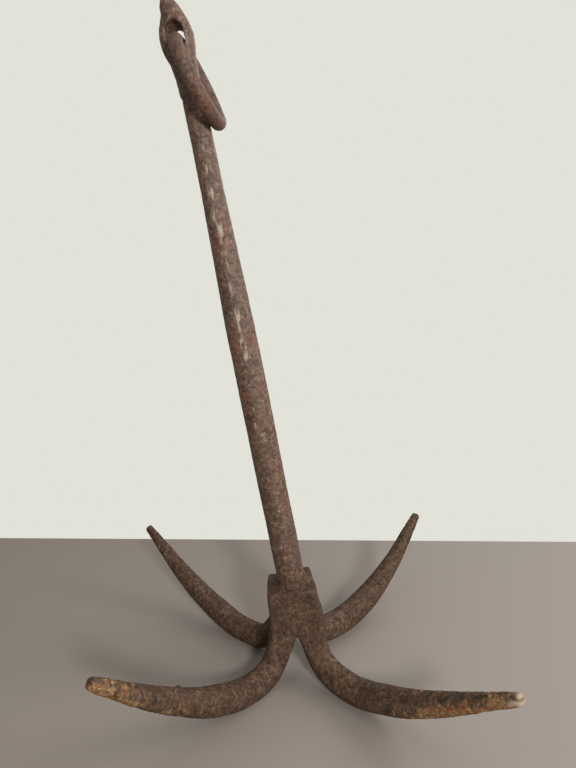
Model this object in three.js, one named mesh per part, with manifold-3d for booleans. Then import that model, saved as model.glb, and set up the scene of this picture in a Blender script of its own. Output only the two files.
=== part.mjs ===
// Four-armed grapnel anchor, hand-forged and rusted, standing on the bellies of its arms.
// Millimetres, +Z up, standing on z = 0. The shank leans over to -X; the ring hangs from its eye.
import * as THREE from 'three';
import { mergeVertices } from 'three/addons/utils/BufferGeometryUtils.js';
import Module from 'manifold-3d';

const wasm = await Module();
wasm.setup();

// --- driving dimensions -------------------------------------------------------------------

const GAP = 0.3;              // clearance between pieces that touch
const SHANK_LEAN = 11;        // degrees that the shank leans from upright, towards -X
const SHANK_AXIS_X = 17.5;    // x at which the shank's axis would meet the ground
const CROWN_LEAN = 7.4;       // the forged cluster of arm roots leans a little less
const CROWN_AXIS_X = 9.6;

const SHANK_FOOT = 62;        // the shank's lower end, measured along its axis from the ground
const SHANK_RADIUS = 15.4;    // 1 1/4 in round bar
const NECK_RADIUS = 11.2;     // the bar drawn down below the eye
const NECK_START = 350;       // where the bar begins to draw down
const NECK_END = 612;

// The eye, forged out of the end of the shank, a little to one side of the axis:
// [height, left edge, right edge] as seen along the hole.
const EYE_OUTLINE = [[640, -12.3, 10.4], [656, -13.1, 9.9], [670, -15.7, 10], [678, -18.8, 10.8],
  [686, -20.6, 12.2], [694, -20.9, 12.6], [702, -19.7, 10.9], [709, -16.8, 8.6], [714, -14.5, 6.6],
  [721, -14.2, 2.9], [727, -12.5, -0.8], [731, -10.2, -4.1], [733, -8.2, -6.3]];
const EYE_TURN = -5;          // degrees that the eye is turned about the shank
const EYE_HALF_THICK = 10;
const HOLE_X = -4;
const HOLE_TOP = 707;
const HOLE_FOOT = 680.5;
const HOLE_WIDTH = 17.6;

const RING_BAR = 7.1;         // radius of the ring's bar
const RING_RADIUS = 41;       // to the middle of the bar
const RING_ANGLE = 16.1;      // degrees from the shank when it rests against it

const ROOT_FOOT_WIDTH = 31;   // the square root of each arm at the crotch
const ROOT_FOOT = 60;         // height of the crotch along the crown's axis
const BEND_HALF = 14;         // half thickness of an arm as it turns outwards

// Each arm: the quarter that its root fills, the height and width of its root's upper end,
// the direction that it points in, its half thickness at the belly and at the tip, and its
// middle line as [reach, height] pairs.
const ARMS = {
  front_left_arm: { side: [-1, -1], top: 111, width: 27, azimuth: 230, belly: 15, tip: 5.6,
    line: [[44, 18.5], [85, 14.8], [135, 33], [190, 67.5], [269, 131]] },
  front_right_arm: { side: [1, -1], top: 111, width: 26.5, azimuth: 317, belly: 15, tip: 5,
    line: [[44, 25], [85, 14.2], [135, 26.5], [190, 53], [268, 100.5]] },
  back_right_arm: { side: [1, 1], top: 115, width: 22.5, azimuth: 48, belly: 15.6, tip: 5.4,
    line: [[46, 27], [90, 18.8], [135, 24.5], [190, 47], [265, 107]] },
  back_left_arm: { side: [-1, 1], top: 108, width: 28.5, azimuth: 140, belly: 14.4, tip: 4.5,
    line: [[44, 22], [85, 13.8], [135, 24.5], [190, 47.5], [269, 96]] },
};

const ARM_SIDES = 20;
const ARM_STEPS = 34;
const SHANK_SIDES = 24;

// --- materials ----------------------------------------------------------------------------

const rust = (name, colour) => new THREE.MeshStandardMaterial({
  name, color: colour, roughness: 0.85, metalness: 0.35 });
const shankRust = rust('shank_rust', 0x71604e);
const ringRust = rust('ring_rust', 0x6d5040);
const armRust = rust('arm_rust', 0x5a4939);

// --- solids -------------------------------------------------------------------------------

function toSolid(geometry) {
  const g = geometry.clone();
  g.deleteAttribute('normal');
  g.deleteAttribute('uv');
  const m = mergeVertices(g, 1e-4);
  return new wasm.Manifold(new wasm.Mesh({
    numProp: 3,
    vertProperties: new Float32Array(m.attributes.position.array),
    triVerts: new Uint32Array(m.index.array),
  }));
}

function toGeometry(solid) {
  const mesh = solid.getMesh();
  const g = new THREE.BufferGeometry();
  g.setAttribute('position', new THREE.BufferAttribute(mesh.vertProperties, 3));
  g.setIndex(new THREE.BufferAttribute(mesh.triVerts, 1));
  g.computeVertexNormals();
  return g;
}

const moved = (geometry, matrix) => geometry.clone().applyMatrix4(matrix);

// A leaning frame: z runs up an axis that rises from x on the ground and leans over to -X.
function leaning(x, degrees) {
  return new THREE.Matrix4()
    .makeTranslation(x, 0, 0)
    .multiply(new THREE.Matrix4().makeRotationY(-THREE.MathUtils.degToRad(degrees)));
}
const shankFrame = leaning(SHANK_AXIS_X, SHANK_LEAN);
const crownFrame = leaning(CROWN_AXIS_X, CROWN_LEAN);
const crownDown = new THREE.Vector3(0, 0, -1).transformDirection(crownFrame);

const smooth = (a, b, t) => THREE.MathUtils.smoothstep(t, a, b);
const mix = THREE.MathUtils.lerp;

// Radius of a superellipse in direction a: power 2 is a circle, a high power a square.
function superellipse(a, power) {
  return (Math.abs(Math.cos(a)) ** power + Math.abs(Math.sin(a)) ** power) ** (-1 / power);
}

// A bar along a curve: a closed cylinder whose rings of vertices are laid on the curve.
// station(t) gives the ring's centre, its two half axes as vectors, its power and its turn.
function forgedBar(sides, steps, station) {
  const g = new THREE.CylinderGeometry(1, 1, 1, sides, steps);
  const p = g.attributes.position;
  const v = new THREE.Vector3();
  for (let i = 0; i < p.count; i++) {
    v.fromBufferAttribute(p, i);
    const s = station(Math.round((v.y + 0.5) * steps) / steps);
    const angle = Math.atan2(v.z, v.x);
    const r = Math.hypot(v.x, v.z) < 0.5 ? 0 : superellipse(angle - s.turn, s.power);
    v.copy(s.centre)
      .addScaledVector(s.across, r * Math.cos(angle))
      .addScaledVector(s.up, r * Math.sin(angle));
    p.setXYZ(i, v.x, v.y, v.z);
  }
  return g;
}

// --- one arm ------------------------------------------------------------------------------

// The arm's middle line: down its quarter of the crown, round the belly and up to the tip.
function armCurve(arm) {
  const [sx, sy] = arm.side;
  const a = THREE.MathUtils.degToRad(arm.azimuth);
  const corner = (z, width) => {
    const c = width / 2 + GAP / 2;
    return new THREE.Vector3(sx * c, sy * c, z).applyMatrix4(crownFrame);
  };
  const points = arm.line.map(([r, z]) => new THREE.Vector3(r * Math.cos(a), r * Math.sin(a), z));
  return new THREE.CatmullRomCurve3([
    corner(arm.top, arm.width),
    corner(ROOT_FOOT, ROOT_FOOT_WIDTH),
    ...points,
  ], false, 'centripetal');
}

// Half thickness of an arm at a fraction t of its length.
function armHalf(t, rootEnd, arm) {
  if (t < rootEnd) return mix(arm.width, ROOT_FOOT_WIDTH, t / rootEnd) / 2;
  const bend = mix(ROOT_FOOT_WIDTH / 2, BEND_HALF, smooth(rootEnd, 0.22, t));
  const swell = mix(bend, arm.belly, smooth(0.2, 0.38, t));
  const taper = Math.max(0, (t - 0.5) / 0.5);
  return mix(swell, arm.tip, taper ** 1.4);
}

function armSolid(arm) {
  const curve = armCurve(arm);
  curve.arcLengthDivisions = 600;
  const length = curve.getLength();
  const rootEnd = (arm.top - ROOT_FOOT) / length;
  const a = THREE.MathUtils.degToRad(arm.azimuth);
  const nominal = Math.atan2(arm.side[1], arm.side[0]);
  const turned = Math.atan2(Math.sin(a - nominal), Math.cos(a - nominal));
  const round = arm.tip * 0.8 / length;      // the last few millimetres round over
  const station = (u) => {
    const t = u < 0.9 ? u * (1 - round) / 0.9 : 1 - round * (1 - Math.sin((u - 0.9) / 0.1 * Math.PI / 2));
    const end = u < 0.9 ? 1 : Math.max(0.45, Math.cos((u - 0.9) / 0.1 * Math.PI / 2));
    const bend = smooth(rootEnd, rootEnd + 0.12, t);
    const along = crownDown.clone().lerp(curve.getTangentAt(t), bend).normalize();
    const az = nominal + turned * smooth(0, 0.35, t);
    const side = new THREE.Vector3(-Math.sin(az), Math.cos(az), 0);
    side.addScaledVector(along, -side.dot(along)).normalize();
    const up = new THREE.Vector3().crossVectors(side, along);
    const half = armHalf(t, rootEnd, arm) * end;
    return {
      centre: curve.getPointAt(t),
      across: side.multiplyScalar(half),
      up: up.multiplyScalar(half),
      power: mix(mix(9, 2.1, smooth(rootEnd * 0.7, 0.26, t)), 2.6, smooth(0.8, 1, t)),
      turn: mix(Math.PI / 4, 0, smooth(0.3, 0.5, t)),
    };
  };
  return toSolid(forgedBar(ARM_SIDES, ARM_STEPS, station));
}

// The quarter of space that an arm may fill, so that neighbouring roots only butt together.
function quarter([sx, sy]) {
  const size = 600;
  const box = new THREE.BoxGeometry(size, size, size)
    .translate(sx * (size + GAP) / 2, sy * (size + GAP) / 2, size / 4);
  return toSolid(moved(box, crownFrame));
}

function ground() {
  return toSolid(new THREE.BoxGeometry(1200, 1200, 100).translate(0, 0, -50));
}

function shankSocket() {
  const radius = SHANK_RADIUS + GAP;
  const height = 200;
  const g = new THREE.CylinderGeometry(radius, radius, height, SHANK_SIDES)
    .rotateX(Math.PI / 2)
    .translate(0, 0, SHANK_FOOT - GAP + height / 2);
  return toSolid(moved(g, shankFrame));
}

function buildArm(name, arm) {
  const solid = armSolid(arm)
    .intersect(quarter(arm.side))
    .subtract(shankSocket())
    .subtract(ground());
  const mesh = new THREE.Mesh(toGeometry(solid), armRust);
  mesh.name = name;
  return mesh;
}

// --- shank and ring -----------------------------------------------------------------------

// Half thickness of the eye along its hole, at height z and half width w.
const eyeThick = (z, w) => Math.min(mix(NECK_RADIUS, EYE_HALF_THICK, smooth(650, 680, z)), 2.2 + w * 0.95);
const barRadius = (z) => mix(SHANK_RADIUS, NECK_RADIUS, smooth(NECK_START, NECK_END, z));

function buildShank() {
  const plain = [SHANK_FOOT, 200, 350, 395, 440, 480, 520, 560, 600, 625];
  const sections = [
    ...plain.map((z) => [z, -barRadius(z), barRadius(z)]),
    ...EYE_OUTLINE,
  ];
  const steps = sections.length - 1;
  const station = (t) => {
    const i = Math.round(t * steps);
    const [z, left, right] = sections[i];
    const half = (right - left) / 2;
    const thick = i < plain.length ? half : eyeThick(z, half);
    return {
      centre: new THREE.Vector3((left + right) / 2, 0, z),
      across: new THREE.Vector3(half, 0, 0),
      up: new THREE.Vector3(0, -thick, 0),
      power: 2 + 0.4 * smooth(650, 685, z),
      turn: 0,
    };
  };
  const bar = toSolid(forgedBar(SHANK_SIDES, steps, station));
  const mesh = new THREE.Mesh(toGeometry(bar.subtract(eyeHole())), shankRust);
  mesh.name = 'shank';
  return mesh;
}

// The hole is punched through as a slot with round ends, along the shank.
function eyeHole() {
  const r = HOLE_WIDTH / 2;
  const slot = new THREE.Shape();
  slot.absarc(0, HOLE_TOP - r, r, 0, Math.PI);
  slot.absarc(0, HOLE_FOOT + r, r, Math.PI, 2 * Math.PI);
  const g = new THREE.ExtrudeGeometry(slot, { depth: 60, bevelEnabled: false, curveSegments: 10 })
    .translate(0, 0, -30)
    .rotateX(Math.PI / 2)
    .translate(HOLE_X, 0, 0);
  return toSolid(g);
}

// The ring swings about the middle of its bar where that lies in the foot of the hole.
const PIVOT_Z = HOLE_FOOT + HOLE_WIDTH / 2;

function buildRing() {
  const g = new THREE.TorusGeometry(RING_RADIUS, RING_BAR, 14, 60)
    .rotateY(Math.PI / 2)
    .translate(0, 0, -RING_RADIUS);
  const mesh = new THREE.Mesh(g, ringRust);
  mesh.name = 'ring';
  mesh.position.set(HOLE_X, 0, PIVOT_Z);
  mesh.rotation.y = -THREE.MathUtils.degToRad(RING_ANGLE);
  return mesh;
}

// --- assembly -----------------------------------------------------------------------------

const anchor = new THREE.Group();
const leant = new THREE.Group();
leant.applyMatrix4(shankFrame);
const turned = new THREE.Group();
turned.rotation.z = THREE.MathUtils.degToRad(EYE_TURN);
turned.add(buildShank(), buildRing());
leant.add(turned);
anchor.add(leant);
for (const [name, arm] of Object.entries(ARMS)) anchor.add(buildArm(name, arm));

// The origin is at the middle of the box's underside.
anchor.updateMatrixWorld(true);
const box = new THREE.Box3().setFromObject(anchor, true);
const middle = box.getCenter(new THREE.Vector3());
anchor.position.set(-middle.x, -middle.y, -box.min.z);

export default anchor;
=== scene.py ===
# %% [markdown]
# # A four-armed grapnel anchor, forged by hand and rusted all over
# The anchor is three kinds of ironwork: a round shank with an eye punched in its top, four
# arms forge-welded to its foot, and a loose ring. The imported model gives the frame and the
# joint; here each piece gets the surface of old wrought iron that has stood in the sea.

# %% Frame
import math

import bpy
import numpy as np
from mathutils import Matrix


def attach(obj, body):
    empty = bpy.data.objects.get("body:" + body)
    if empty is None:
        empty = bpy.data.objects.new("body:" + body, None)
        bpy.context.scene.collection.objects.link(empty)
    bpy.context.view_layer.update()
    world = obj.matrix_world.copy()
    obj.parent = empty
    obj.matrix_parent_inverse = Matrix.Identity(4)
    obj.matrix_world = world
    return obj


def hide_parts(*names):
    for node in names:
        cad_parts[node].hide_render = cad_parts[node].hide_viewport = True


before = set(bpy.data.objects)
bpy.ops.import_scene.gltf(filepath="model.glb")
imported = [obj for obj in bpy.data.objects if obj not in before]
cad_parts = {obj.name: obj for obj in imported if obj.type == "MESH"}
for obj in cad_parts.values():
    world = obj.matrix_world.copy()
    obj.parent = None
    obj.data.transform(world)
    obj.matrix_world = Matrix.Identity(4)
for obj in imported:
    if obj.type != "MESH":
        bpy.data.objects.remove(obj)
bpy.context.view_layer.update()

# %% [markdown]
# ## Leaning axes
# The shank leans 11 degrees to the left and the forged block of arm roots 7.4 degrees. Each
# piece could be made upright and its object turned, but a finished piece has to sit unturned
# at the origin. So a shape is worked out upright round its own axis, which rises from a point
# on the ground, and one small function then leans whole arrays of its points.

# %% Leaning axes
MM = 0.001
SHIFT = np.array([4.852, 4.566, 0.0])     # from the ground point of the axes to the frame
SHANK_LEAN, SHANK_X = math.radians(11), 17.5
CROWN_LEAN, CROWN_X = math.radians(7.4), 9.6


def leant(points, lean, x):
    """Points of an upright axis turned by the lean about Y, then moved to x on the ground."""
    c, s = math.cos(lean), math.sin(lean)
    px, py, pz = points[..., 0], points[..., 1], points[..., 2]
    return np.stack([px * c - pz * s + x, py, px * s + pz * c], axis=-1)


print("shank's axis meets the ground", SHANK_X - CROWN_X, "mm right of the block's")

# %% [markdown]
# ## Curves by formula
# A forged bar changes its width and its section gradually. Key points with straight lines
# between them would leave creases, so each change is an S-shaped step from one value to
# another, and one formula gives every section from round to nearly square.

# %% Curves by formula


def smooth(a, b, t):
    """0 before a, 1 after b, and a smooth S between them."""
    u = np.clip((np.asarray(t, float) - a) / (b - a), 0, 1)
    return u * u * (3 - 2 * u)


def between(first, second, share):
    """The first value at share 0, the second at share 1, and a straight mix between them."""
    return first + (second - first) * share


def squarish(angle, power):
    """Radius of a superellipse of size one: a circle at power 2, and squarer above it."""
    return (np.abs(np.cos(angle)) ** power + np.abs(np.sin(angle)) ** power) ** (-1 / power)


print("at power 9 a corner is", round(float(squarish(math.pi / 4, 9)), 2), "half widths out")

# %% [markdown]
# ## Lumpy iron
# Old wrought iron is never smooth. Hammer marks are broad and shallow, and rust pits are a few
# millimetres wide. A Displace modifier with a cloud texture could raise them, but then the
# finish could not ask where the pits are. So both come from one solid noise in arrays: random
# values on a lattice, blended smoothly between its corners.

# %% Solid noise
LATTICE_SIDE = 64
LATTICE = np.random.default_rng(7).random((LATTICE_SIDE,) * 3).astype(np.float32)


def noise(points, size, shift=0.0):
    """Random lattice values every size millimetres, blended smoothly; from -1 to 1."""
    q = points / size + shift
    cell = np.floor(q).astype(int)
    f = q - cell
    f = f * f * (3 - 2 * f)
    total = 0.0
    for corner in range(8):
        step = np.array([corner & 1, corner >> 1 & 1, corner >> 2 & 1])
        i, j, k = ((cell + step) % LATTICE_SIDE).T
        weight = np.prod(np.where(step, f, 1 - f), axis=-1)
        total = total + weight * LATTICE[i, j, k]
    return total * 2 - 1


def pits(points, size, share, shift=0.0):
    """Round-bottomed hollows, 0 to 1: where two noises together rise above a level.

    The level drops as the share grows, so a larger share means more and wider pits.
    """
    field = 0.65 * noise(points, size, shift) + 0.35 * noise(points, size * 0.55, shift + 9)
    return smooth(1 - 2 * share, 1 - 2 * share + 0.45, field)


print("lattice ready", LATTICE.shape)

# %% [markdown]
# ## From a grid to a mesh
# A bar is a profile carried along a path: a grid of points, one row for each station along it
# and one column for each direction round it. A curve object with a bevel would do for a plain
# bar, but here every section is different. The columns join up, and each end closes on one
# point, so the skin has no open seam or pole.

# %% Grid to mesh


def new_object(name, points, faces):
    """An object with a new mesh, from an array of points in metres and a list of faces."""
    mesh = bpy.data.meshes.new(name)
    mesh.from_pydata(points.tolist(), [], faces)
    mesh.update()
    made = bpy.data.objects.new(name, mesh)
    bpy.context.scene.collection.objects.link(made)
    return made


def tube_faces(rows, columns):
    """Quads between the rows, joined round the columns, and a fan of triangles on each end."""
    i, j = np.meshgrid(np.arange(rows - 1), np.arange(columns), indexing="ij")
    k = (j + 1) % columns
    quads = np.stack([i * columns + j, i * columns + k, (i + 1) * columns + k,
                      (i + 1) * columns + j], -1).reshape(-1, 4)
    around = np.arange(columns)
    after, last = (around + 1) % columns, (rows - 1) * columns
    start = np.stack([after, around, np.full(columns, rows * columns)], -1)
    end = np.stack([last + around, last + after, np.full(columns, rows * columns + 1)], -1)
    return [*quads.tolist(), *start.tolist(), *end.tolist()]


def tube(name, grid):
    """A closed mesh object from a grid of points in millimetres, shape (rows, columns, 3)."""
    rows, columns = grid.shape[:2]
    points = np.concatenate([grid.reshape(-1, 3), grid[0].mean(0)[None], grid[-1].mean(0)[None]])
    return new_object(name, points * MM, tube_faces(rows, columns))


def torus(name, grid):
    """The same for a grid whose last row joins its first, so that it has no ends."""
    rows, columns = grid.shape[:2]
    i, j = np.meshgrid(np.arange(rows), np.arange(columns), indexing="ij")
    m, k = (i + 1) % rows, (j + 1) % columns
    quads = np.stack([i * columns + j, m * columns + j, m * columns + k, i * columns + k], -1)
    return new_object(name, grid.reshape(-1, 3) * MM, quads.reshape(-1, 4).tolist())


print("a tube of 3 rows and 4 columns has", len(tube_faces(3, 4)), "faces")

# %% [markdown]
# ## One skin from several shells
# A punched hole and a forge weld have no sharp line where surfaces meet. Bevelling the edges
# of a Boolean cut is fragile on a dense mesh. A voxel remesh instead lays one even skin over
# all the shells, with its points close enough together to carry rust pits, and a few smoothing
# passes round off the voxel steps.

# %% Remeshing


def remeshed(piece, voxel, cuts=(), relax=2):
    """Joins the shells of a piece into one even skin, after taking the cuts out of it."""
    for cut in cuts:
        boolean = piece.modifiers.new("cut", "BOOLEAN")
        boolean.operation, boolean.object, boolean.solver = "DIFFERENCE", cut, "EXACT"
    skin = piece.modifiers.new("skin", "REMESH")
    skin.mode, skin.voxel_size = "VOXEL", voxel * MM
    smoothing = piece.modifiers.new("relax", "SMOOTH")
    smoothing.factor, smoothing.iterations = 0.5, relax
    graph = bpy.context.evaluated_depsgraph_get()
    mesh = bpy.data.meshes.new_from_object(piece.evaluated_get(graph))
    mesh.name = piece.name
    piece.modifiers.clear()
    old, piece.data = piece.data, mesh
    bpy.data.meshes.remove(old)
    for cut in cuts:
        bpy.data.objects.remove(cut)
    print(piece.name, len(mesh.vertices), "points after remeshing")
    return piece


# %% [markdown]
# ## Height and kept numbers
# The weather takes iron away and puts crust on. Each point moves along its own normal by a
# height, which changes the outline as a bump texture never could. The numbers behind that
# height are kept on the mesh as attributes, so that the finish can darken exactly the pits
# that were sunk.

# %% Weathering


def places(mesh):
    """The mesh's points in millimetres and its normals, as arrays."""
    points = np.empty(len(mesh.vertices) * 3, np.float32)
    mesh.vertices.foreach_get("co", points)
    normals = np.empty(len(mesh.vertices) * 3, np.float32)
    mesh.vertices.foreach_get("normal", normals)
    return points.reshape(-1, 3).astype(float) / MM, normals.reshape(-1, 3).astype(float)


def weathered(piece, height, **layers):
    """Moves each point along its normal by height in millimetres, and keeps the layers."""
    mesh = piece.data
    points, normals = places(mesh)
    points = points + normals * height[:, None]
    mesh.vertices.foreach_set("co", (points * MM).astype(np.float32).ravel())
    for name, values in layers.items():
        layer = mesh.attributes.new(name, "FLOAT", "POINT")
        layer.data.foreach_set("value", np.asarray(values, np.float32))
    mesh.shade_smooth()
    mesh.update()
    print(piece.name, "moved from", round(float(height.min()), 2), "to",
          round(float(height.max()), 2), "mm; keeps", sorted(layers))


# %% [markdown]
# ## The shank and its eye
# The smith drew the round bar down to a thinner neck, spread its end into a lopsided lug and
# punched a long hole through it. A lathed profile would make both sides alike, so the bar is a
# row of stations up the axis, each with its own left edge, right edge and thickness. The hole
# is cut with a round-ended drift, as the smith's was, and remeshing then softens its lips as
# wear has done.

# %% Shank outline
# The eye's rows are height up the axis, left edge and right edge, in millimetres.
EYE = np.array([[640, -12.3, 10.4], [656, -13.1, 9.9], [670, -15.7, 10], [678, -18.8, 10.8],
                [686, -20.6, 12.2], [694, -20.9, 12.6], [702, -19.7, 10.9], [709, -16.8, 8.6],
                [714, -14.5, 6.6], [721, -14.2, 2.9], [727, -12.5, -0.8], [731, -10.2, -4.1],
                [733, -8.2, -6.3]])
BAR_FOOT, EYE_FOOT, EYE_TOP = 70, EYE[0, 0], EYE[-1, 0]
BAR_RADIUS, NECK_RADIUS, LUG_HALF = 15.4, 11.2, 10
EYE_TURN = math.radians(-5)


def bar_radius(z):
    """The bar's radius, drawn down smoothly to the neck's between 350 and 612 mm up the axis."""
    return between(BAR_RADIUS, NECK_RADIUS, smooth(350, 612, z))


def turned(points, angle):
    """Points turned about the upright axis."""
    c, s = math.cos(angle), math.sin(angle)
    x, y = points[..., 0], points[..., 1]
    return np.stack([x * c - y * s, x * s + y * c, points[..., 2]], -1)


def shank_place(points):
    """From the shank's own upright axes to the frame."""
    return leant(turned(points, EYE_TURN), SHANK_LEAN, SHANK_X) + SHIFT


print("eye", EYE_TOP - EYE_FOOT, "mm high,", round(float(np.ptp(EYE[:, 1:])), 1), "mm across")

# %% Shank bar


def shank_grid(bar_rows=300, eye_rows=120, columns=72):
    """Ellipses up the axis; left and right edges from the eye's outline, squarer at the eye."""
    z = np.concatenate([np.linspace(BAR_FOOT, EYE_FOOT, bar_rows),
                        np.linspace(EYE_FOOT + 2, EYE_TOP, eye_rows)])
    plain = bar_radius(z)
    left = np.where(z < EYE_FOOT, -plain, np.interp(z, EYE[:, 0], EYE[:, 1]))
    right = np.where(z < EYE_FOOT, plain, np.interp(z, EYE[:, 0], EYE[:, 2]))
    half = (right - left) / 2
    lug = np.minimum(between(NECK_RADIUS, LUG_HALF, smooth(650, 680, z)), 2.2 + 0.95 * half)
    thick = np.where(z < 625, half, between(lug, half, 1 - smooth(625, 650, z)))
    a = np.linspace(0, 2 * np.pi, columns, endpoint=False)
    r = squarish(a, (2 + 0.4 * smooth(650, 685, z))[:, None])
    x = ((left + right) / 2)[:, None] + half[:, None] * r * np.cos(a)
    y = thick[:, None] * r * np.sin(a)
    return np.stack([x, y, np.broadcast_to(z[:, None], x.shape)], -1)


# %% Eye hole
HOLE_X, HOLE_TOP, HOLE_FOOT, HOLE_HALF = -4, 707, 680.5, 8.8
DRIFT_REACH = 30.0


def drift_grid(rows=25, columns=48):
    """A slot with round ends carried through the lug; its top leans right and down behind."""
    a = np.linspace(0, 2 * np.pi, columns, endpoint=False)
    straight = (HOLE_TOP - HOLE_FOOT) / 2 - HOLE_HALF
    x = HOLE_X + HOLE_HALF * np.cos(a)
    z = (HOLE_TOP + HOLE_FOOT) / 2 + HOLE_HALF * np.sin(a) + straight * np.sign(np.sin(a))
    y = np.linspace(DRIFT_REACH, -DRIFT_REACH, rows)[:, None]
    lean = smooth(-9, 9, y) * smooth(HOLE_FOOT + 12, HOLE_FOOT + 22, z)
    left = smooth(2, -8, x - HOLE_X)
    return np.stack(np.broadcast_arrays(x + 5.5 * lean * left, y, z - 5 * lean), -1)


# %% Shank forging
SHANK_VOXEL = 1.05
shank = tube("shank_forging", shank_place(shank_grid()))
drift = tube("drift", shank_place(drift_grid()))
remeshed(shank, SHANK_VOXEL, cuts=[drift])

# %% [markdown]
# ## Hammer marks and rust pits
# Every piece keeps flats from the hammer and soft swellings, and has rusted in pits of three
# sizes, small ones inside wide ones. One pit size alone looks like a golf ball, and a bump
# texture alone leaves a smooth outline. These two functions give real height for all the
# pieces, and the finish adds only the finest grain.

# %% Hammer and rust


def hammered(points, grain=(1, 1, 1)):
    """Broad hammer marks and small swellings, in millimetres; the grain stretches them."""
    q = points / np.array(grain)
    return 0.42 * noise(q, 34) + 0.28 * noise(q, 15, 3) + 0.16 * noise(q, 7, 5)


def rusted(points, deep=0.5, share=0.36):
    """Depth of pitting from 0 to 1 at three sizes, and the height it gives in millimetres."""
    wide = pits(points, 8.5, share, 1)
    middle = pits(points, 4.4, share + 0.03, 2)
    fine = pits(points, 2.3, share + 0.08, 4)
    depth = 0.15 * wide + 0.4 * middle + 0.45 * fine
    height = -deep * (0.6 * wide + 0.9 * middle + 0.45 * fine) + 0.1 * noise(points, 2.8, 6)
    return np.clip(depth * 1.5, 0, 1), height


# %% [markdown]
# ## The shank's surface
# The bar's hammer marks run along its grain, and its foot is coloured darker than its top. Down
# its front runs a painted highlight: a broken streak of pale flecks where light glances off the
# bar. It could be painted in the finish, but a pattern that follows a leaning bar is easier to
# place on its points. Four numbers are kept at every point: depth in a pit (darker towards the
# foot), crust (none here), worn skin, and the painted highlight.

# %% Shank surface
# The painted highlight's flecks are drawn out this many times up the bar.
HIGHLIGHT_STRETCH = 4.0
MARK_STRETCH = 2.4


def upright(points):
    """Points taken back to the shank's own upright axes."""
    return leant(points - SHIFT - np.array([SHANK_X, 0, 0]), -SHANK_LEAN, 0)


def painted_highlight(points):
    """Painted highlight: pale flecks long up the bar, along its front between neck and middle; 0
    to 1.
    """
    q = upright(points)
    round_bar = np.arctan2(q[:, 0], -q[:, 1])
    band = np.exp(-((round_bar + 0.02) / 0.3) ** 2)
    span = smooth(330, 430, q[:, 2]) * (1 - smooth(560, 640, q[:, 2]))
    thin = q / np.array([1, 1, HIGHLIGHT_STRETCH])
    field = 0.5 * noise(thin, 2.9, 51) + 0.65 * noise(thin, 1.5, 52)
    return smooth(0.4, 0.8, field * 0.75 + 0.52 * band * (0.4 + 0.6 * span) - 0.02)


points = places(shank.data)[0]
depth, height = rusted(points, 0.42)
# The pit number also rises towards the bottom of the bar, below about 360 mm, so the foot is
# darker.
pits_and_darker_foot = np.clip(depth + 0.25 * smooth(360, 130, points[:, 2]), 0, 1)
weathered(shank, height + hammered(points, (1, 1, MARK_STRETCH)) * 0.9 + 0.12, depth=pits_and_darker_foot,
          crust=np.zeros(len(points)), worn=smooth(0.0, 0.8, noise(points, 26, 8)),
          pale=painted_highlight(points))
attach(shank, "anchor")
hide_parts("shank")

# %% [markdown]
# ## The four arms
# Each arm started as a bar with a square root. Four roots were welded together round the foot
# of the shank, so they show as one block with only shallow seams, and then each bar curves
# out, turns from square to round, swells at its belly and tapers to a blunt tip. A bevelled
# curve keeps one section all the way, so the bar is a superellipse carried along a smooth
# curve instead, and its shape changes as it goes.

# %% Arm curve
# side is the root's quarter of the block, top the height of its upper end and width its width
# there. The bar curves out towards azimuth, in degrees, through the line's pairs of distance
# from the middle and height; belly and tip are half widths. HALF_GAP is half a seam.
ARMS = {
    "front_left": dict(side=(-1, -1), top=111, width=27, azimuth=230, belly=15, tip=5.6,
                       line=[(44, 18.5), (85, 14.8), (135, 33), (190, 67.5), (269, 131)]),
    "front_right": dict(side=(1, -1), top=111, width=26.5, azimuth=317, belly=15, tip=5,
                        line=[(44, 25), (85, 14.2), (135, 26.5), (190, 53), (268, 100.5)]),
    "back_right": dict(side=(1, 1), top=115, width=22.5, azimuth=48, belly=15.6, tip=5.4,
                       line=[(46, 27), (90, 18.8), (135, 24.5), (190, 47), (265, 107)]),
    "back_left": dict(side=(-1, 1), top=108, width=28.5, azimuth=140, belly=14.4, tip=4.5,
                      line=[(44, 22), (85, 13.8), (135, 24.5), (190, 47.5), (269, 96)]),
}
ROOT_WIDTH, CROTCH, HALF_GAP = 31.0, 60.0, 0.15
CURVE_POINTS = 1200


def knots(arm):
    """The curve's fixed points: two in the leaning root, then reach and height pairs."""
    a = math.radians(arm["azimuth"])
    root = [[s * (w / 2 + HALF_GAP) for s in arm["side"]] + [z]
            for z, w in ((arm["top"], arm["width"]), (CROTCH, ROOT_WIDTH))]
    reach = [[r * math.cos(a), r * math.sin(a), z] for r, z in arm["line"]]
    return np.concatenate([leant(np.array(root), CROWN_LEAN, CROWN_X), np.array(reach)])


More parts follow.
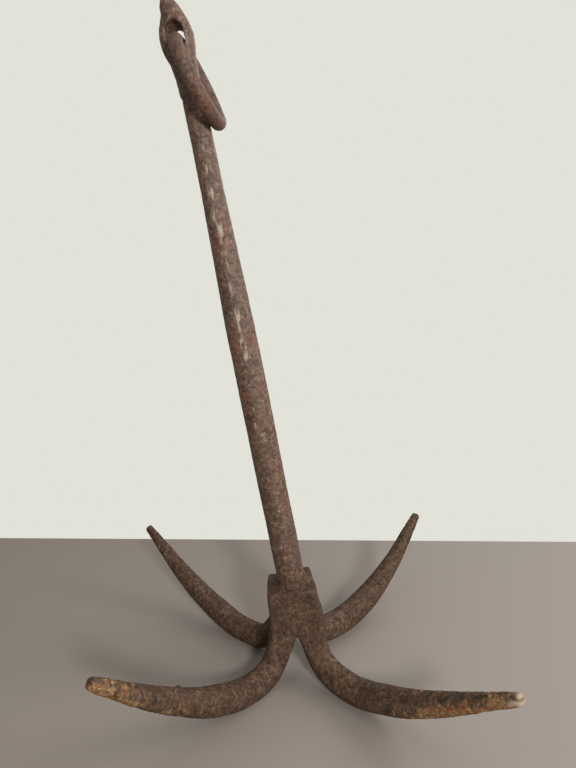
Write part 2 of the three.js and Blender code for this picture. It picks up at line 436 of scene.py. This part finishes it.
def smooth_curve(p, count):
    """Centripetal Catmull-Rom: each span is a blend of blends of its four nearest points."""
    p = np.concatenate([[2 * p[0] - p[1]], p, [2 * p[-1] - p[-2]]])
    t = np.concatenate([[0], np.cumsum(np.linalg.norm(np.diff(p, axis=0), axis=1) ** 0.5)])
    runs = []
    for i in range(1, len(p) - 2):
        u = np.linspace(t[i], t[i + 1], 200, endpoint=i == len(p) - 3)[:, None]
        a = [((t[i + k] - u) * p[i + k - 1] + (u - t[i + k - 1]) * p[i + k])
             / (t[i + k] - t[i + k - 1]) for k in (0, 1, 2)]
        b = [((t[i + k + 1] - u) * a[k] + (u - t[i + k - 1]) * a[k + 1])
             / (t[i + k + 1] - t[i + k - 1]) for k in (0, 1)]
        runs.append(((t[i + 1] - u) * b[0] + (u - t[i]) * b[1]) / (t[i + 1] - t[i]))
    run = np.concatenate(runs)
    along = np.concatenate([[0], np.cumsum(np.linalg.norm(np.diff(run, axis=0), axis=1))])
    even = np.linspace(0, along[-1], count)
    return np.stack([np.interp(even, along, run[:, k]) for k in range(3)], -1), along[-1]


for name, arm in ARMS.items():
    print(name, "curve", round(smooth_curve(knots(arm), CURVE_POINTS)[1]), "mm long")

# %% [markdown]
# ## An arm's sections
# Going down the curve, t is the share of its length. Near the tip the rows crowd together and
# the sections shrink quickly, which rounds the end off without a seam. A separate cap would
# need joining on. The section's sideways direction starts square to the block's corner and
# swings until it is square to the way the arm curves out.

# %% Arm sections
SHAFT_ROWS, TIP_ROWS = 0.92, 0.08        # shares of an arm's rows on its shaft and its tip


def unit(v):
    """Vectors brought to length one."""
    return v / np.linalg.norm(v, axis=-1, keepdims=True)


def stations(arm, length, rows):
    """Each row's share of the length, and the share of its width that the round tip leaves."""
    cap = arm["tip"] * 0.9 / length
    u = np.linspace(0, 1, rows)
    t = np.where(u < SHAFT_ROWS, u * (1 - cap) / SHAFT_ROWS,
                 1 - cap * (1 - np.sin((u - SHAFT_ROWS) / TIP_ROWS * np.pi / 2)))
    past = np.clip(u - SHAFT_ROWS, 0, None)
    return t, np.sqrt(np.clip(1 - (past / (TIP_ROWS + 0.002)) ** 2.4, 0.02, 1))


def across(arm, centre, t, root):
    """Sideways and upward directions: square to the root at first, then to the curve."""
    tangent = unit(np.gradient(centre, axis=0) + 1e-9)
    down = np.array([math.sin(CROWN_LEAN), 0, -math.cos(CROWN_LEAN)])
    bend = smooth(root, root + 0.12, t)[:, None]
    along = unit(down * (1 - bend) + tangent * bend)
    nominal = math.atan2(arm["side"][1], arm["side"][0])
    a = math.radians(arm["azimuth"])
    az = nominal + math.atan2(math.sin(a - nominal), math.cos(a - nominal)) * smooth(0, 0.35, t)
    side = np.stack([-np.sin(az), np.cos(az), np.zeros(len(t))], -1)
    side = unit(side - along * np.sum(side * along, -1, keepdims=True))
    return side, np.cross(side, along)


def section(arm, t, root):
    """Half width and squareness: a square root, a waist, a round belly, a tapering end."""
    half = between(ROOT_WIDTH, arm["width"], np.clip(1 - t / root, 0, 1)) / 2
    half = between(half, 14, smooth(root, 0.22, t))
    half = between(half, arm["belly"], smooth(0.2, 0.38, t))
    half = between(half, arm["tip"], np.clip((t - 0.5) / 0.5, 0, 1) ** 1.4)
    power = between(9, 2.1, smooth(root * 0.7, 0.26, t))
    return half, between(power, 2.6, smooth(0.8, 1, t))


# %% Arm surface
WORN_FLAT = 0.4


def arm_grid(arm, rows=230, columns=56):
    """Superellipses across the curve, pressed flat where the belly stands on the ground."""
    line, length = smooth_curve(knots(arm), CURVE_POINTS)
    root = (arm["top"] - CROTCH) / length
    t, end = stations(arm, length, rows)
    at = t * (len(line) - 1)
    centre = np.stack([np.interp(at, np.arange(len(line)), line[:, k]) for k in range(3)], -1)
    side, up = across(arm, centre, t, root)
    half, power = section(arm, t, root)
    turn = (math.pi / 4 * (1 - smooth(0.3, 0.5, t)))[:, None]
    angle = np.linspace(0, 2 * np.pi, columns, endpoint=False)[None, :]
    r = squarish(angle - turn, power[:, None]) * (half * end)[:, None]
    grid = centre[:, None] + side[:, None] * (r * np.cos(angle))[..., None] \
        + up[:, None] * (r * np.sin(angle))[..., None]
    grid[..., 2] = np.maximum(grid[..., 2], WORN_FLAT)
    return grid + SHIFT


# %% [markdown]
# ## The welds
# Where the roots meet, the smith's weld filled the corners: a collar climbs the shank, and
# below it the roots run together down to the crotch. Two plain shapes stand for the filler.
# Joined to the four bars and remeshed with them, they vanish into one forging.

# %% Welds
BLOCK_TOP, WEB_TOP, COLLAR_FOOT, COLLAR_TOP = 111, 103, 84, 125


def collar_grid(rows=24, columns=48):
    """The weld that fills the corner: a cone round the shank, wide below and thin above."""
    z = np.linspace(COLLAR_FOOT, COLLAR_TOP, rows)[:, None]
    a = np.linspace(0, 2 * np.pi, columns, endpoint=False)[None, :]
    wide = 21.5 - 6.4 * smooth(104, COLLAR_TOP, z) + 0.8 * np.sin(3 * a + 1)
    cone = np.stack(np.broadcast_arrays(wide * np.cos(a), wide * np.sin(a), z), -1)
    return leant(cone, SHANK_LEAN, SHANK_X) + SHIFT


def web_grid(rows=24, columns=48):
    """The weld between roots: a squarish block inside their faces, narrowing to the crotch."""
    z = np.linspace(CROTCH, WEB_TOP, rows)[:, None]
    a = np.linspace(0, 2 * np.pi, columns, endpoint=False)[None, :]
    drop = (BLOCK_TOP - z) / (BLOCK_TOP - CROTCH)
    front, back = 26.7 + 4.2 * drop, 22.5 + 8 * drop
    r = squarish(a, 7)
    wide = 5 + 8 * smooth(CROTCH, CROTCH + 9, z)
    x, y = wide * r * np.cos(a), (front + back) / 2 * r * np.sin(a) + (back - front) / 2
    return leant(np.stack(np.broadcast_arrays(x, y, z), -1), CROWN_LEAN, CROWN_X) + SHIFT


# %% Arm forging
ARM_VOXEL = 1.4


def joined(name, parts):
    """Several objects made one, with all their shells."""
    bpy.ops.object.select_all(action="DESELECT")
    for part in parts:
        part.select_set(True)
    bpy.context.view_layer.objects.active = parts[0]
    bpy.ops.object.join()
    parts[0].name = parts[0].data.name = name
    return parts[0]


bars = [tube(name, arm_grid(arm)) for name, arm in ARMS.items()]
welds = [tube("collar", collar_grid()), tube("web", web_grid())]
arms = remeshed(joined("arm_forging", bars + welds), ARM_VOXEL, relax=4)

# %% [markdown]
# ## Crust on the arms
# The arms lay in the mud, so their outer ends carry a flaky tan crust of lime and rust over
# the iron, thickest on the undersides and at the front. Its share also grows towards the
# right, and that part is painted light: the pale crust lightens the right-hand arms as if lit
# from that side. The crust stands proud as thin islands: separate scattered flakes would be
# thousands of pieces, so it is a height on the same skin. Three small nodules, one on each of
# three arms, are lumps of slag and old growth.

# %% Crust and lumps
# Each nodule is its arm, its distance from the middle and its height, in millimetres.
NODULES = [("front_left", 175, 3.2), ("front_right", 96, 1.6), ("back_left", 146, 2.6)]
NODULE_RADIUS = 2.6


def outward(points):
    """Distance from the foot of the shank, along the ground, in millimetres."""
    return np.hypot(points[:, 0] - SHIFT[0], points[:, 1] - SHIFT[1])


def crusted(points, normals):
    """0 to 1: islands of crust, commoner towards the tips of the front arms and below, and towards
    the right, which is partly painted light.
    """
    # Crust grows towards the right: partly real crust, partly painted light that pales the
    # right-hand arms.
    right = 0.36 + 0.82 * smooth(-60, 60, points[:, 0])
    front = 0.25 + 0.75 * smooth(20, -40, points[:, 1]) * right
    below = smooth(0.45, -0.35, normals[:, 2])
    spread = (0.2 + 0.4 * below) * smooth(112, 205, outward(points)) * front
    end = 0.2 * smooth(226, 246, outward(points)) * np.minimum(2 * front, 1)
    field = 0.4 * noise(points, 9, 21) + 0.4 * noise(points, 4, 22) + 0.4 * noise(points, 2.3, 23)
    return smooth(0.56, 0.8, 0.3 + 0.5 * field + spread + end)


def lumps(points, normals):
    """Each nodule is a steep dome on the top of its arm at its reach, in millimetres."""
    total = np.zeros(len(points))
    for name, reach, tall in NODULES:
        a = math.radians(ARMS[name]["azimuth"])
        away = np.hypot(points[:, 0] - reach * math.cos(a) - SHIFT[0],
                        points[:, 1] - reach * math.sin(a) - SHIFT[1])
        total += tall * np.exp(-(away / NODULE_RADIUS) ** 2) * (normals[:, 2] > 0.3)
    return total


# %% Arms weathered
points, normals = places(arms.data)
depth, height = rusted(points, 0.5, 0.4)
crust = crusted(points, normals)
flaky = 0.55 * crust * (0.7 + 0.5 * noise(points, 4.2, 31))
height = height * (1 - 0.5 * crust) + hammered(points) * 1.1 + flaky + lumps(points, normals)
tip = smooth(254, 266, outward(points)) * smooth(-0.5, 0.3, noise(points, 3.6, 41))
pale = tip * smooth(0, 60, points[:, 0]) * smooth(0, -60, points[:, 1])
clear = smooth(0.0, 3.0, points[:, 2])    # the worn flats under the bellies stay flat
weathered(arms, height * clear, depth=depth * (1 - 0.6 * crust), crust=crust, pale=pale,
          worn=smooth(0.1, 0.9, noise(points, 30, 12)))
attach(arms, "anchor")
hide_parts("front_left_arm", "front_right_arm", "back_right_arm", "back_left_arm")

# %% [markdown]
# ## The ring
# A round bar was bent into a ring through the eye and its ends welded. The weld is a slight
# swelling, and the bar is thinner where it has rubbed in the eye. Blender's own torus has one
# thickness all round, so the ring is a circle of changing size carried round a bigger circle,
# placed by the same pivot and angle as the moving body.

# %% Ring
RING_BAR, RING_MEAN, RING_ANGLE = 7.1, 41.0, math.radians(16.1)
WELD_AT, RUB_AT = 3.9, np.pi / 2          # angles round the ring
PIVOT = np.array([HOLE_X, 0.0, HOLE_FOOT + HOLE_HALF])


def ring_grid(rows=330, columns=60):
    """A bar whose radius swells at the weld and thins at the top, carried round a circle."""
    u = np.linspace(0, 2 * np.pi, rows, endpoint=False)[:, None]
    v = np.linspace(0, 2 * np.pi, columns, endpoint=False)[None, :]
    weld = 0.55 * np.exp(-((u - WELD_AT) / 0.16) ** 2)
    rub = 0.35 * np.exp(-((u - RUB_AT) / 0.3) ** 2)
    bar = RING_BAR + weld - rub
    out = RING_MEAN + bar * np.cos(v)
    y, z = out * np.cos(u), out * np.sin(u) - RING_MEAN
    x = np.broadcast_to(bar * np.sin(v), y.shape)
    c, s = math.cos(-RING_ANGLE), math.sin(-RING_ANGLE)
    hung = np.stack([x * c + z * s, y, -x * s + z * c], -1)
    return shank_place(hung + PIVOT)


ring = torus("ring_forging", ring_grid())
points = places(ring.data)[0]
depth, height = rusted(points, 0.3, 0.34)
weathered(ring, height + 0.3 * noise(points, 17, 3), depth=depth,
          crust=np.zeros(len(points)), worn=smooth(0.0, 0.8, noise(points, 14, 2)))
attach(ring, "ring")
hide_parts("ring")

# %% [markdown]
# ## The finish of rusted iron
# Rust on wrought iron is not one colour. Broad clouds run from dark umber to maroon, pits hold
# near-black scale, raised skin is worn to a greyer brown, and fine specks are rusty orange or
# pale; the pale specks are also painted glints. An image would stretch on these shapes, so each
# layer is one noise through a ramp, read from the object's own coordinates, and the numbers
# kept on the mesh say where the pits and the crust are. A small class keeps the building of
# the nodes short.

# %% Node helpers


class Skin:
    """A material being built: short calls that add a node and join it up."""

    def __init__(self, name):
        self.material = bpy.data.materials.new(name)
        self.material.use_nodes = True
        self.tree = self.material.node_tree
        self.shader = self.tree.nodes["Principled BSDF"]
        self.place = self.tree.nodes.new("ShaderNodeTexCoord").outputs["Object"]

    def add(self, kind, **inputs):
        """A node with its inputs set or joined; names are the sockets' own."""
        node = self.tree.nodes.new(kind)
        for key, value in inputs.items():
            self.give(node.inputs[key.replace("_", " ")], value)
        return node

    def give(self, socket, value):
        """Joins an output to the socket, or sets its value."""
        if isinstance(value, bpy.types.NodeSocket):
            self.tree.links.new(value, socket)
        else:
            socket.default_value = value

    def cloud(self, scale, detail=4.0, rough=0.6, shift=0.0):
        """Noise of a scale, in cycles a metre, read from the object's own coordinates."""
        node = self.add("ShaderNodeMapping", Vector=self.place, Location=(shift, shift * 2, shift))
        return self.add("ShaderNodeTexNoise", Vector=node.outputs[0], Scale=scale,
                        Detail=detail, Roughness=rough).outputs["Fac"]

    def ramp(self, value, low, high):
        """The value spread from low to high onto 0 to 1."""
        node = self.add("ShaderNodeMapRange", Value=value, From_Min=low, From_Max=high)
        node.interpolation_type = "SMOOTHSTEP"
        return node.outputs[0]

    def mix(self, share, under, over):
        """The over colour laid on the under colour by share."""
        node = self.tree.nodes.new("ShaderNodeMix")
        node.data_type = "RGBA"
        factor, colour_a, colour_b = (node.inputs[i] for i in (0, 6, 7))
        self.give(factor, share)
        self.give(colour_a, under)
        self.give(colour_b, over)
        return node.outputs[2]

    def maths(self, operation, a, b):
        """One sum on two numbers."""
        node = self.tree.nodes.new("ShaderNodeMath")
        node.operation = operation
        self.give(node.inputs[0], a)
        self.give(node.inputs[1], b)
        return node.outputs[0]

    def times(self, a, b):
        """The product of two numbers."""
        return self.maths("MULTIPLY", a, b)

    def patches(self, low, high, most, *cloud):
        """Where a cloud passes from low to high, as a share from 0 up to most."""
        return self.times(self.ramp(self.cloud(*cloud), low, high), most)

    def layer(self, name):
        """A number kept on the mesh's points."""
        node = self.tree.nodes.new("ShaderNodeAttribute")
        node.attribute_name = name
        return node.outputs["Fac"]


def rgb(red, green, blue):
    """A colour from its 0 to 255 screen values, made linear."""
    return (*[(c / 255 / 12.92 if c < 10.3 else ((c / 255 + 0.055) / 1.055) ** 2.4)
              for c in (red, green, blue)], 1.0)


print("screen grey 128 is", round(rgb(128, 128, 128)[0], 3), "in linear light")

# %% [markdown]
# ## One recipe, three finishes
# The shank shows most maroon and most shine, the arms are darkest and dullest, and the ring
# Three separate materials would repeat the same nodes, so one recipe takes each
# piece's colours and shares. Where the crust number is high, a lime colour of its
# own covers the rust; on the right-hand arms part of that number is painted light.

# %% Colours
BLACK_SCALE, PIT, ORANGE = rgb(24, 17, 13), rgb(34, 24, 18), rgb(148, 92, 56)
# Pale specks, which are also painted glints; then the pale of the arms' crusty tips and of the
# shank's painted highlight.
PALE_SPECK_AND_GLINT, PALE_TIP_AND_HIGHLIGHT = rgb(176, 164, 148), rgb(178, 163, 145)
CRUST_BROWN, CRUST_TAN = rgb(110, 75, 47), rgb(148, 116, 80)
CRUST_RED, CRUST_CREAM = rgb(116, 62, 38), rgb(176, 160, 124)
# In each finish, the share of pale specks that are also painted glints comes after the worn
# colour.
FINISHES = {
    "shank_rust": dict(umber=rgb(74, 55, 43), brown=rgb(108, 81, 62), maroon=rgb(108, 67, 54),
                       worn=rgb(122, 99, 81), speck_and_glint=0.5, red=0.85, dull=0.3, shine=0.42),
    "arm_rust": dict(umber=rgb(59, 43, 31), brown=rgb(88, 66, 49), maroon=rgb(82, 54, 41),
                     worn=rgb(104, 83, 65), speck_and_glint=0.22, red=0.5, dull=0.52, shine=0.22),
    "ring_rust": dict(umber=rgb(74, 53, 42), brown=rgb(102, 76, 60), maroon=rgb(102, 60, 48),
                      worn=rgb(112, 88, 72), speck_and_glint=0.3, red=0.8, dull=0.36, shine=0.35),
}
print("finishes", sorted(FINISHES))

# %% Rust colour


def rust_colour(k, umber, brown, maroon, worn, speck_and_glint, red):
    """Clouds of umber, brown and maroon; dark stipple, worn skin, orange specks, and pale specks
    that are also painted glints.
    """
    colour = k.mix(k.ramp(k.cloud(75, 6, 0.72), 0.36, 0.64), umber, brown)
    colour = k.mix(k.patches(0.44, 0.64, red, 26, 6, 0.65, 3.1), colour, maroon)
    stipple = k.mix(0.6, colour, BLACK_SCALE)
    colour = k.mix(k.patches(0.44, 0.58, 0.7, 290, 3, 0.65, 6.6), colour, stipple)
    rubbed = k.maths("ADD", 0.45, k.times(k.layer("worn"), 0.5))
    colour = k.mix(k.patches(0.47, 0.62, rubbed, 190, 3, 0.65, 1.7), colour, worn)
    colour = k.mix(k.patches(0.6, 0.7, 0.16, 420, 3, 0.6, 5.3), colour, ORANGE)
    # Pale specks, which are also painted glints, strongest on the shank.
    colour = k.mix(k.patches(0.6, 0.72, speck_and_glint, 330, 3, 0.6, 8.2), colour, PALE_SPECK_AND_GLINT)
    return k.mix(k.times(k.layer("depth"), 0.55), colour, PIT)


def crust_colour(k):
    """Brown to tan clouds of lime, stained red in places, with cream grains."""
    lime = k.mix(k.ramp(k.cloud(230, 5, 0.7, 2.2), 0.4, 0.6), CRUST_BROWN, CRUST_TAN)
    lime = k.mix(k.ramp(k.cloud(120, 5, 0.7, 6.4), 0.5, 0.64), lime, CRUST_RED)
    return k.mix(k.ramp(k.cloud(330, 3, 0.6, 4.9), 0.6, 0.68), lime, CRUST_CREAM)


# %% Rusted iron


def rusted_iron(name, dull, shine, **colours):
    """Rust with crust, pale tips and the shank's painted highlight on top; uneven roughness, and a
    fine grain.
    """
    k = Skin(name)
    # The crust number, which on the right-hand arms also carries painted light.
    crust = k.layer("crust")
    colour = k.mix(k.times(crust, 0.8), rust_colour(k, **colours), crust_colour(k))
    # The pale number: the arms' pale crusty tips, and on the shank a painted highlight streak.
    colour = k.mix(k.times(k.layer("pale"), 0.66), colour, PALE_TIP_AND_HIGHLIGHT)
    k.give(k.shader.inputs["Base Color"], colour)
    rough = k.maths("ADD", dull, k.times(k.cloud(130, 5, 0.7, 7), 0.42))
    k.give(k.shader.inputs["Roughness"], k.maths("ADD", rough, k.times(crust, 0.1)))
    metal = k.times(k.ramp(k.layer("worn"), 0.4, 1.0), 0.18)
    k.give(k.shader.inputs["Metallic"], metal)
    k.shader.inputs["Specular IOR Level"].default_value = shine
    grain = k.maths("ADD", k.cloud(700, 4, 0.7), k.times(k.cloud(280, 3, 0.6, 9), 1.4))
    bump = k.add("ShaderNodeBump", Strength=0.55, Distance=0.0011, Height=grain)
    k.give(k.shader.inputs["Normal"], bump.outputs[0])
    print(name, "has", len(k.tree.nodes), "nodes")
    return k.material


for piece, name in ((shank, "shank_rust"), (arms, "arm_rust"), (ring, "ring_rust")):
    piece.data.materials.clear()
    piece.data.materials.append(rusted_iron(name, **FINISHES[name]))

# %% [markdown]
# ## Table
# The anchor stands on a plain taupe table top that ends a little way behind it, in front of
# pale open air. A modelled wall would hide the anchor from behind, so the background's own
# colour stands for it. The table is one flat sheet with a very fine, faint mottle.

# %% Table
TABLE_SIDE, TABLE_FRONT, TABLE_BACK = 1.7, -1.8, 0.337
TABLE_DARK, TABLE_PALE = rgb(130, 120, 112), rgb(139, 129, 121)


def table_top():
    """A flat sheet from well in front of the anchor to the table's back edge."""
    x = np.array([-TABLE_SIDE, TABLE_SIDE, TABLE_SIDE, -TABLE_SIDE])
    y = np.array([TABLE_FRONT, TABLE_FRONT, TABLE_BACK, TABLE_BACK])
    return new_object("table_top", np.stack([x, y, 0 * x], -1), [(0, 1, 2, 3)])


table = table_top()
k = Skin("pale_table")
mottle = k.mix(k.ramp(k.cloud(900, 2), 0.3, 0.7), TABLE_DARK, TABLE_PALE)
k.give(k.shader.inputs["Base Color"], mottle)
k.shader.inputs["Roughness"].default_value = 0.62
table.data.materials.append(k.material)
print("table", 2 * TABLE_SIDE, "m wide,", round(TABLE_BACK - TABLE_FRONT, 2), "m deep")

# %% [markdown]
# ## Light
# One fairly small soft box stands in front, a little to the right and not very high, so each
# shadow falls back and slightly left with a fairly clear edge. Three broad ones fill in: one
# overhead, one at the right, and one behind on the right. The pale air is bright to look at,
# but at that strength it would wash the shadows out, so it lights at about half.

# %% Light
PALE_AIR, AIR_LIGHT, AIR_SEEN = rgb(226, 226, 217), 0.48, 1.0
world = bpy.data.worlds.new("pale_room")
bpy.context.scene.world = world
world.use_nodes = True
sky = world.node_tree
seen = sky.nodes.new("ShaderNodeLightPath").outputs["Is Camera Ray"]
share = sky.nodes.new("ShaderNodeMapRange")
sky.links.new(seen, share.inputs["Value"])
share.inputs["To Min"].default_value, share.inputs["To Max"].default_value = AIR_LIGHT, AIR_SEEN
sky.nodes["Background"].inputs["Color"].default_value = PALE_AIR
sky.links.new(share.outputs[0], sky.nodes["Background"].inputs["Strength"])


def soft_light(name, place, target, size, watts):
    """A square soft box at a place, facing a target; metres and watts."""
    data = bpy.data.lights.new(name, "AREA")
    data.size, data.energy = size, watts
    light = bpy.data.objects.new(name, data)
    bpy.context.scene.collection.objects.link(light)
    aim = np.array(target) - np.array(place)
    light.location = place
    light.rotation_euler = (math.atan2(math.hypot(aim[0], aim[1]), -aim[2]), 0,
                            math.atan2(aim[1], aim[0]) - math.pi / 2)
    print(name, "light", watts, "W from", round(float(np.linalg.norm(aim)), 2), "m")


soft_light("key", (0.46, -1.68, 0.95), (0, 0, 0.2), 0.24, 29)
soft_light("top", (0.5, -0.2, 2.1), (0, 0, 0.1), 1.5, 7)
soft_light("side", (1.5, -0.1, 0.9), (0.3, 0, 0.0), 0.8, 15)
soft_light("back", (1.1, 1.8, 1.4), (0, 0, 0.3), 1.3, 13)

# %% [markdown]
# ## Camera
# The camera looks slightly down on the crown from two thirds of a metre in front. That near
# view, with a fairly wide lens, is what makes the front arms look big and the shank taper.
# It is held a third of a degree off level. In the order ZXY the Z angle comes first, while the
# camera still looks along Z, so it rolls the picture; in the usual XYZ it would turn the view.

# %% Camera
CAMERA_PLACE = (-0.0050, -0.6671, 0.4846)
LOOK_DOWN, ROLL = math.radians(12.11), math.radians(0.38)
lens = bpy.data.cameras.new("camera")
lens.sensor_width, lens.lens = 36.0, 30.09
lens.clip_start, lens.clip_end = 0.02, 50
camera = bpy.data.objects.new("camera", lens)
bpy.context.scene.collection.objects.link(camera)
camera.rotation_mode = "ZXY"
camera.location = CAMERA_PLACE
camera.rotation_euler = (math.radians(90) - LOOK_DOWN, 0, ROLL)
bpy.context.scene.camera = camera
bpy.context.scene.view_settings.view_transform = "Standard"
print("camera sees", round(math.degrees(lens.angle), 1), "degrees from top to bottom")
